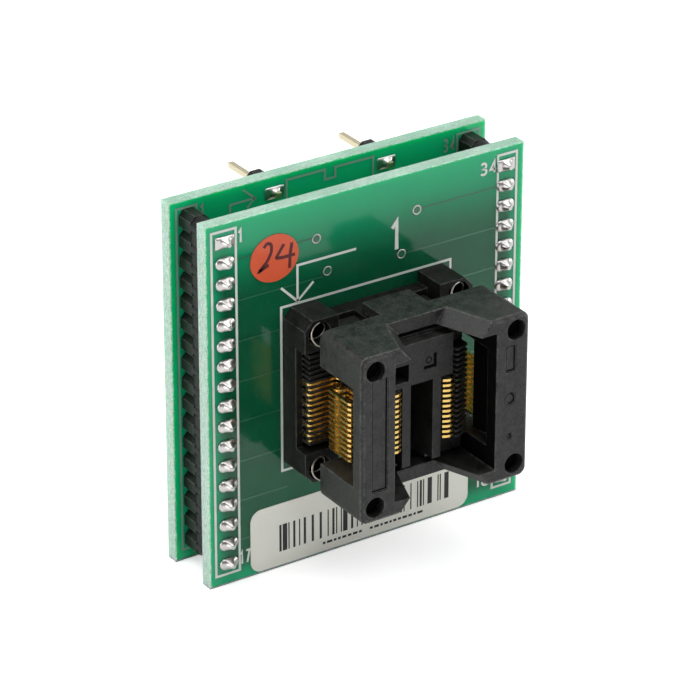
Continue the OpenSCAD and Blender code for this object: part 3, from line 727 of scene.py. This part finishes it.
# %% Crests on the fins
SLOT_PITCH, FINS, LOWEST_FIN, FIN_T = 0.65, 18, -5.525, 0.286
CREST = [(4.26, 10.6), (4.26, 10.95), (4.5, 11.38), (4.72, 11.42)]
CREST = np.array(CREST + [(5.4, 11.2), (6.29, 10.9), (6.29, 10.6)])
fins = []
for side in (-1, 1):
    for up in LOWEST_FIN + SLOT_PITCH * np.arange(FINS):
        faces_at = (up - FIN_T / 2, up + FIN_T / 2)
        points = np.stack([on_bench(side * CREST[:, 0], h, CREST[:, 1]) for h in faces_at])
        fins.append((points, slab_faces(len(CREST))))
add_piece("fin_crests", fins, nest_black, angle=50)

# %% [markdown]
# ## Solder on the front
# Hand-soldered joints sit on long pads: the metal swells up from the pad's outline and draws up
# to a point round the pin. The shell is worked out as rings of the pad's outline that shrink
# towards the pin while the height follows a round foot plus a steep middle.

# %% Solder joints of the two header rows
PITCH, PINS = 2.54, 17
ROW_UP = ((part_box("header_pins_left")[0].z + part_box("header_pins_left")[1].z) / 2 - MID_Z) / MM
ROW_X = (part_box("header_pins_right")[0].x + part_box("header_pins_right")[1].x) / 2 / MM
PAD_L, PAD_W, PAD_T = 2.5, 1.5, 0.05
ROUND = 44  # points round one joint
rng = np.random.default_rng(7)


def pad_outline(count, power):
    """Points round a long pad: round ends at power 2, and square corners at high powers."""
    turn = np.linspace(0, 2 * np.pi, count, endpoint=False)
    c, s = np.cos(turn), np.sin(turn)
    round_part = np.abs(c) ** power + np.abs(s) ** power
    unit = np.stack([c, s], axis=1) / (round_part ** (1 / power))[:, None]
    shift = np.sign(c) * (PAD_L - PAD_W) / 2 * (np.abs(c) > 1e-9)
    return unit * PAD_W / 2 + np.stack([shift, 0 * s], axis=1)


def joint(x, up, square, out=PAD_T, flat=1.0):
    """A dome over the pad's outline, plus a cone that falls away from the pin's rounded end."""
    share = np.concatenate([[1.0, 1.0, 0.97, 0.92], np.linspace(0.86, 0.06, 16)])
    outline = pad_outline(ROUND, 9 if square else 2)
    lean = rng.uniform(-0.05, 0.05, 2)
    rings = share[:, None, None] * outline[None]
    from_pin = np.hypot(rings[..., 0], rings[..., 1])
    dome = rng.uniform(0.42, 0.50) * (0.75 if square else 1) * np.sqrt(np.clip(1 - share**2, 0, 1))
    slope = np.clip((rng.uniform(0.78, 0.86) - from_pin) / 0.68, 0, 1)
    peak = rng.uniform(0.62, 0.68) * (3 * slope**2 - 2 * slope**3)
    height = dome[:, None] + peak + 0.05 * np.sqrt(np.clip(1 - (from_pin / 0.3) ** 2, 0, 1))
    height[0] = -0.04
    spot = rings + ((1 - share)[:, None] * lean[None])[:, None]
    points = on_bench(x + spot[..., 0], up + spot[..., 1], out + height * flat)
    faces = grid_faces(len(share), ROUND, close_cols=True)
    faces += [list(range(ROUND))[::-1], [(len(share) - 1) * ROUND + k for k in range(ROUND)]]
    return points, faces


rows = [ROW_UP + (PINS - 1) / 2 * PITCH - PITCH * k for k in range(PINS)]
shells = [joint(side * ROW_X, up, up > rows[0] - 0.1) for side in (-1, 1) for up in rows]
front_joints = add_piece("front_joints", shells, solder, angle=60)
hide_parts("front_solder")

# %% Solder joints of the plug pins, on the back board's inner face
DIP_X = (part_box("dip_pins_right")[0].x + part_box("dip_pins_right")[1].x) / 2 / MM
DIP_TOP = (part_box("dip_pins_right")[1].z - MID_Z) / MM - 0.32
dip_rows = [DIP_TOP - PITCH * k for k in range(12)]
shells = [
    joint(side * DIP_X, up, up > dip_rows[0] - 0.1, out=BACK_OUT + PAD_T, flat=0.65)
    for side in (-1, 1)
    for up in dip_rows
]
dip_joints = add_piece("dip_joints", shells, solder, angle=60)
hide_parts("dip_solder")

# %% [markdown]
# ## Printed lines
# The boards carry white printed outlines: a box round each row of pins, the socket's outline, an
# arrow, and the numbers of the corner pins. Digits are drawn as pen strokes.


# %% Digits as strokes
DIGITS = {
    "1": [[(0.0, 0.78), (0.9, 1.0), (0.9, 0.0)]],
    "3": [arc(0.5, 0.75, 0.45, 0.25, 150, -90) + arc(0.5, 0.25, 0.5, 0.25, 90, -150)[1:]],
    "4": [[(0.72, 0.0), (0.72, 1.0), (0.0, 0.3), (1.0, 0.3)]],
    "7": [[(0.0, 1.0), (1.0, 1.0), (0.3, 0.0)]],
    "8": [arc(0.5, 0.74, 0.42, 0.26, -90, 270, 15), arc(0.5, 0.25, 0.5, 0.25, 90, 450, 15)],
}


def digits(text, left, right, low, high, line, out, gap=0.28):
    """Writes digits side by side in a box; a one takes half the width of another digit."""
    shares = np.array([0.55 if sign == "1" else 1.0 for sign in text])
    widths = (right - left - gap * (len(text) - 1)) * shares / shares.sum()
    shells, start = [], left
    for sign, width in zip(text, widths):
        for stroke in DIGITS[sign]:
            size = np.array([width - line, high - low - line])
            points = np.array(stroke) * size + [start + line / 2, low + line / 2]
            shells.append(ribbon(points, line, out))
        start += width + gap
    return shells


def frame_line(left, right, low, high, line, out):
    """A closed rectangle."""
    return ribbon([(left, low), (right, low), (right, high), (left, high)], line, out, closed=True)


# %% Front print: two boxes round the pins, the arrow and its head, and the socket's outline
LINE = 0.3
print_front = [
    frame_line(-20.75, -17.57, -21.48, 21.89, LINE, 0),
    frame_line(17.96, 20.60, -21.48, 21.89, LINE, 0),
    ribbon([(-1.59, 15.19), (-9.49, 15.19), (-9.49, 10.74)], LINE, 0),
    ribbon([(-11.69, 12.94), (-9.49, 10.74), (-7.34, 12.64)], LINE, 0),
    frame_line(-11.69, 11.45, -10.3, 10.49, LINE, 0),
]
print_front += digits("1", -17.3, -16.75, 19.84, 21.64, 0.28, 0)
print_front += digits("1", 3.1, 4.26, 13.44, 17.44, 0.5, 0)
print_front += digits("17", -17.49, -16.09, -20.91, -19.06, 0.26, 0)
print_front += digits("34", 15.41, 17.81, 19.84, 21.54, 0.28, 0)
print_front += digits("18", 15.4, 17.7, -20.9, -19.05, 0.28, 0)
add_piece("front_print", print_front, board_ink)

# %% Back print, on the face towards the front board
back, REAR_LINE = BACK_OUT, 0.26
NOTCHED = [(-0.79, 21.92), (-5.99, 21.92), (-5.99, 6.0), (5.81, 6.0)]
NOTCHED += [(5.81, 21.92), (0.61, 21.92), (0.61, 20.69), (-0.79, 20.69)]
print_back = [
    ribbon(NOTCHED, REAR_LINE, back, closed=True),
    ribbon([(-11.79, 22.13), (-10.21, 20.74), (-11.29, 19.78)], REAR_LINE, back),
    ribbon([(-10.21, 20.74), (-13.53, 20.71), (-13.53, 19.74)], REAR_LINE, back),
    frame_line(-20.6, -17.96, -21.48, 21.89, REAR_LINE, back),
    frame_line(17.57, 20.75, -21.48, 21.89, REAR_LINE, back),
]
print_back += digits("34", 15.56, 17.31, 19.94, 21.74, 0.28, back)
print_back += digits("1", -17.55, -17.0, 20.5, 21.74, 0.26, back)
add_piece("back_print", print_back, faint_ink)

# %% [markdown]
# Small round vias carry a track from one face to the other: a thin tinned ring round a lacquered
# hollow. Every second pin has its track on the front face, a fine line from the pad to the
# socket.

# %% Vias and tracks
VIAS = [(-6.92, 17.78), (-5.46, 13.42), (4.63, 12.91), (6.72, 17.90)]
VIA_IN, VIA_OUT, VIA_END = 0.44, 0.60, 0.55
TRACK_FROM, TRACK_TO = ROW_X - 1.2, 11.0


def ring(across, up, inner, outer, rise, sides=28):
    """Four circles: up the outer side, over to the inner edge, and down into the hollow."""
    turn = np.linspace(0, 2 * np.pi, sides, endpoint=False)[None, :]
    size = np.array([outer, outer - 0.02, inner + 0.02, inner])[:, None]
    level = np.array([0.0, rise, rise, 0.0])[:, None]
    points = on_bench(across + size * np.cos(turn), up + size * np.sin(turn), level + 0 * turn)
    return points, grid_faces(4, sides, close_rows=True, close_cols=True)


add_piece("vias", [ring(x, up, VIA_IN, VIA_OUT, 0.03) for x, up in VIAS], tin, angle=60)
tracks = []
for k in range(1, PINS, 2):
    for side in (-1, 1):
        end = side * TRACK_TO
        if k in (1, 3):
            pair = {1: (VIAS[0], VIAS[3]), 3: (VIAS[1], VIAS[2])}[k]
            end = pair[0][0] - VIA_END if side < 0 else pair[1][0] + VIA_END
        tracks.append(ribbon([(side * TRACK_FROM, rows[k]), (end, rows[k])], 0.2, 0, 0.015))
tracks += [disc(x, up, VIA_IN - 0.01, 0.0, 0.008) for x, up in VIAS]
add_piece("tracks", tracks, track_green)

# %% [markdown]
# What runs behind the back board is a guess: the plug pins have to be joined to the rows beside
# them somehow, so each gets a plain line with two bends, one pitch away from the next.

# %% Tracks behind the back board
rear_tracks = []
for k, dip_up in enumerate(dip_rows):
    row_up = rows[k + 1]
    line = [(ROW_X - 1.3, row_up), (12.6, row_up), (10.6, dip_up), (DIP_X + 1.3, dip_up)]
    for side in (-1, 1):
        mirrored = [(side * x, up) for x, up in line]
        rear_tracks.append(ribbon(mirrored, 0.25, REAR_OUT - 0.015, 0.02))
add_piece("rear_tracks", rear_tracks, track_green)

# %% [markdown]
# The nest has a sunk corner mark that tells where pin 1 of the chip goes, and a small round dimple
# beside it. The mark's floor is in shadow, so a thin dark inlay paints that shade in it, and a thin
# dark ring on the face paints the shade of the dimple's rim.

# %% Corner mark and dimple in the nest
MARK_DEPTH = 0.149  # a hair less than the sunk marks' depth, so no two faces share a place
nest_out = (FACE_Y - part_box("chip_nest")[0].y) / MM
mark = [(0.36, 4.195), (1.82, 4.195), (1.82, 5.7)]
inlay = [ribbon(mark, 0.4, nest_out - MARK_DEPTH, 0.02)]
add_piece("corner_mark", inlay, shadow_black)
dimple = [ribbon(arc(0.9, 5.1, 0.36, 0.36, 0, 360, 25)[:-1], 0.13, nest_out, 0.008, closed=True)]
add_piece("gate_dimple", dimple, shadow_black)

# %% [markdown]
# The four round holes in the cover's front end in a flat floor that closes the spring's bore. The
# floor is in the near-black material, painted shade that makes the deep holes read dark.

# %% Floors of the cover's front holes
FLOOR_R, FLOOR_DEPTH = 1.225, 1.24
cover_out = (FACE_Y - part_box("cover")[0].y) / MM
floors = []
for name in sorted(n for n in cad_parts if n.startswith("spring_")):
    low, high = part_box(name)
    x, up = (low.x + high.x) / 2 / MM, ((low.z + high.z) / 2 - MID_Z) / MM
    floors.append(disc(x, up, FLOOR_R, cover_out - FLOOR_DEPTH - 0.05, cover_out - FLOOR_DEPTH))
add_piece("hole_floors", floors, shadow_black, body="cover")

# %% [markdown]
# The bare fields in the cover's front are so shallow that their walls hardly show. A thin dark
# line along the lower and right walls paints the shade there.

# %% Painted shade in the cover's sunk fields
BAR_MID = 9.1  # across, to the middle of each side bar of the cover
field_floor = cover_out - MARK_DEPTH
SHADE_LINES = [
    [(-BAR_MID - 0.75, -6.48), (-BAR_MID + 1.13, -6.48), (-BAR_MID + 1.13, 7.35)],
    [(BAR_MID - 0.85, 3.52), (BAR_MID + 0.28, 3.52), (BAR_MID + 0.28, 6.55)],
    arc(BAR_MID - 0.3, 0, 0.64, 0.64, -110, 80, 15),
    arc(BAR_MID - 0.3, -4.8, 0.3, 0.3, -110, 80, 11),
]
lines = [ribbon(line, 0.3, field_floor, 0.02) for line in SHADE_LINES]
add_piece("field_shade", lines, shadow_black, body="cover")

# %% [markdown]
# ## Papers
# The round sticker has a number written on it by hand with a soft pen; the label has rows of
# plain bars, which stand for its small print.

# %% Number on the sticker
low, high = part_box("sticker")
spot = ((low.x + high.x) / 2 / MM, ((low.z + high.z) / 2 - MID_Z) / MM)
PAPER_T, INK_T = 0.08, 0.008
HALF_W, HALF_H = 3.19, 2.88  # the sticker is slightly oval
oval = np.array(arc(0, 0, HALF_W, HALF_H, 0, 360, 73)[:-1]) + spot
sticker = add_piece("sticker_paper", [plate(oval, 0.0, PAPER_T)], orange_paper)
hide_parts("sticker")
crook = [(-1.42, 1.6), (-0.95, 2.1), (-0.4, 1.8), (-0.4, 0.9)]
strokes = [
    crook + [(-0.95, -0.12), (-2.15, -1.24), (-0.78, -0.62)],
    [(1.25, 1.44), (0.81, 0.83), (0.14, -0.07), (1.25, -0.19), (2.7, -0.17)],
    [(2.3, 1.35), (2.05, 0.0), (1.97, -1.7)],
]
shells = []
for k, line in enumerate(strokes):
    shells.append(ribbon(rounded(line, 0.3) + spot, 0.4, PAPER_T, INK_T + 0.002 * k))
add_piece("sticker_number", shells, pen_ink)

# %% Bars on the label
low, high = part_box("label")
left, right = low.x / MM, high.x / MM
foot, head = (low.z - MID_Z) / MM, (high.z - MID_Z) / MM
shells, at = [], left + 3.9
while at < right - 3.2:
    wide = rng.choice([0.16, 0.16, 0.3, 0.3, 0.62])
    shells.append(bar(at, at + wide, foot + 1.8, head - 2.8, PAPER_T, PAPER_T + INK_T))
    at += wide + rng.choice([0.16, 0.22, 0.34, 0.5, 0.8])
at = left + 8.4
for wide in rng.uniform(0.3, 0.75, 22):
    if rng.random() < 0.8:
        shells.append(bar(at, at + wide, foot + 0.9, foot + 1.2, PAPER_T, PAPER_T + INK_T))
    at += wide + 0.22
add_piece("label_bars", shells, label_ink)

# %% [markdown]
# ## The studio
# A plain white floor, a big soft lamp overhead, three small ones at the sides and behind, and
# the light of a pale room. The room is darker behind the viewer, which gives the shiny parts
# something dark to show, and keeps the lacquered board a deep green.

# %% Floor
def stage_floor():
    """White paper that glows a little to the eye, so it reads white and still takes a shadow."""
    finish = Finish("floor_paper")
    path = finish.node("LightPath")
    outputs = path.socket.node.outputs
    seen = Wire(finish, outputs["Is Camera Ray"]).most(Wire(finish, outputs["Is Transmission Ray"]))
    matte = finish.node("BsdfDiffuse", inputs={"Color": (0.86, 0.86, 0.86, 1)})
    glow = finish.node("Emission", inputs={"Color": (1, 1, 1, 1), "Strength": 0.5})
    lit = finish.node("AddShader", inputs={0: matte, 1: glow})
    finish.node_out(finish.node("MixShader", inputs={0: seen, 1: matte, 2: lit}))
    return finish.material


mesh = bpy.data.meshes.new("floor")
mesh.from_pydata([(-3, -3, 0), (3, -3, 0), (3, 3, 0), (-3, 3, 0)], [], [(0, 1, 2, 3)])
mesh.materials.append(stage_floor())
floor = bpy.data.objects.new("floor", mesh)
bpy.context.scene.collection.objects.link(floor)

# %% Lamps
def softbox(name, place, target, wide, tall, power):
    """A rectangular lamp at a place, turned to face the target."""
    lamp = bpy.data.lights.new(name, "AREA")
    lamp.shape = "RECTANGLE"
    lamp.size, lamp.size_y, lamp.energy = wide, tall, power
    holder = bpy.data.objects.new(name, lamp)
    bpy.context.scene.collection.objects.link(holder)
    aim = (Vector(target) - Vector(place)).to_track_quat("-Z", "Y")
    holder.matrix_world = Matrix.Translation(place) @ aim.to_matrix().to_4x4()


MIDDLE = (0.0, 0.0, 0.023)
# Place, width, height, and power in watts.
LAMPS = {
    "lamp_top": ((0.05, -0.1, 0.75), 0.8, 0.8, 4.2),
    "lamp_right": ((0.62, -0.17, 0.16), 0.35, 0.3, 1.0),
    "lamp_left": ((-0.62, -0.1, 0.17), 0.35, 0.3, 0.8),
    "lamp_high": ((-0.46, 0.20, 0.46), 0.3, 0.3, 1.3),
}
for name, (place, wide, tall, power) in LAMPS.items():
    softbox(name, place, MIDDLE, wide, tall, power)
print("lamps", list(LAMPS))

# %% Room light
ROOM_LIGHT, ROOM_DARK = (0.55, 0.56, 0.57, 1), (0.12, 0.125, 0.13, 1)
DARK_SIDE = (-0.495, -0.744, 0.449)  # a fixed direction: to the left, in front and above
world = bpy.data.worlds.new("room")
bpy.context.scene.world = world
room = Finish("room", world)
towards = room.node("TexCoord", output="Generated")
facing = {0: towards, 1: DARK_SIDE}
viewer = room.node("VectorMath", {"operation": "DOT_PRODUCT"}, facing, "Value")
tone = room.blend(viewer.rise(0.55, 0.92), ROOM_LIGHT, ROOM_DARK)
outputs = room.node("LightPath").socket.node.outputs
white = room.blend(Wire(room, outputs["Is Camera Ray"]), tone, (1, 1, 1, 1))
room.node_out(room.node("Background", inputs={"Color": white, "Strength": 1.0}), "OutputWorld")

# %% [markdown]
# The viewer stands to the left of the front and above it, some ten widths of the object away,
# which takes a long lens. The turn is the angle round the object, the tilt the angle above the
# floor, and the roll is next to nothing.

# %% Camera
LENS, SENSOR = 202.25, 36.0
PLACE = (-224.66, -334.985, 227.40)
TURN, TILT, ROLL = -33.625, 26.706, 0.091
scene = bpy.context.scene
camera = bpy.data.cameras.new("camera")
camera.lens, camera.sensor_width = LENS, SENSOR
camera.clip_start, camera.clip_end = 0.01, 20
view = bpy.data.objects.new("camera", camera)
scene.collection.objects.link(view)
turn, tilt, roll = (math.radians(a) for a in (TURN, TILT, ROLL))
back = Vector((math.sin(turn) * math.cos(tilt), -math.cos(turn) * math.cos(tilt), math.sin(tilt)))
right = Vector((-back.y, back.x, 0)).normalized()
upward = back.cross(right)
right_r = right * math.cos(roll) + upward * math.sin(roll)
up_r = upward * math.cos(roll) - right * math.sin(roll)
place = Vector(PLACE) * MM
axes = Matrix((right_r, up_r, back)).transposed()
view.matrix_world = Matrix.Translation(place) @ axes.to_4x4()
scene.camera = view
scene.view_settings.view_transform = "Standard"
print("camera at", tuple(round(v, 4) for v in place))
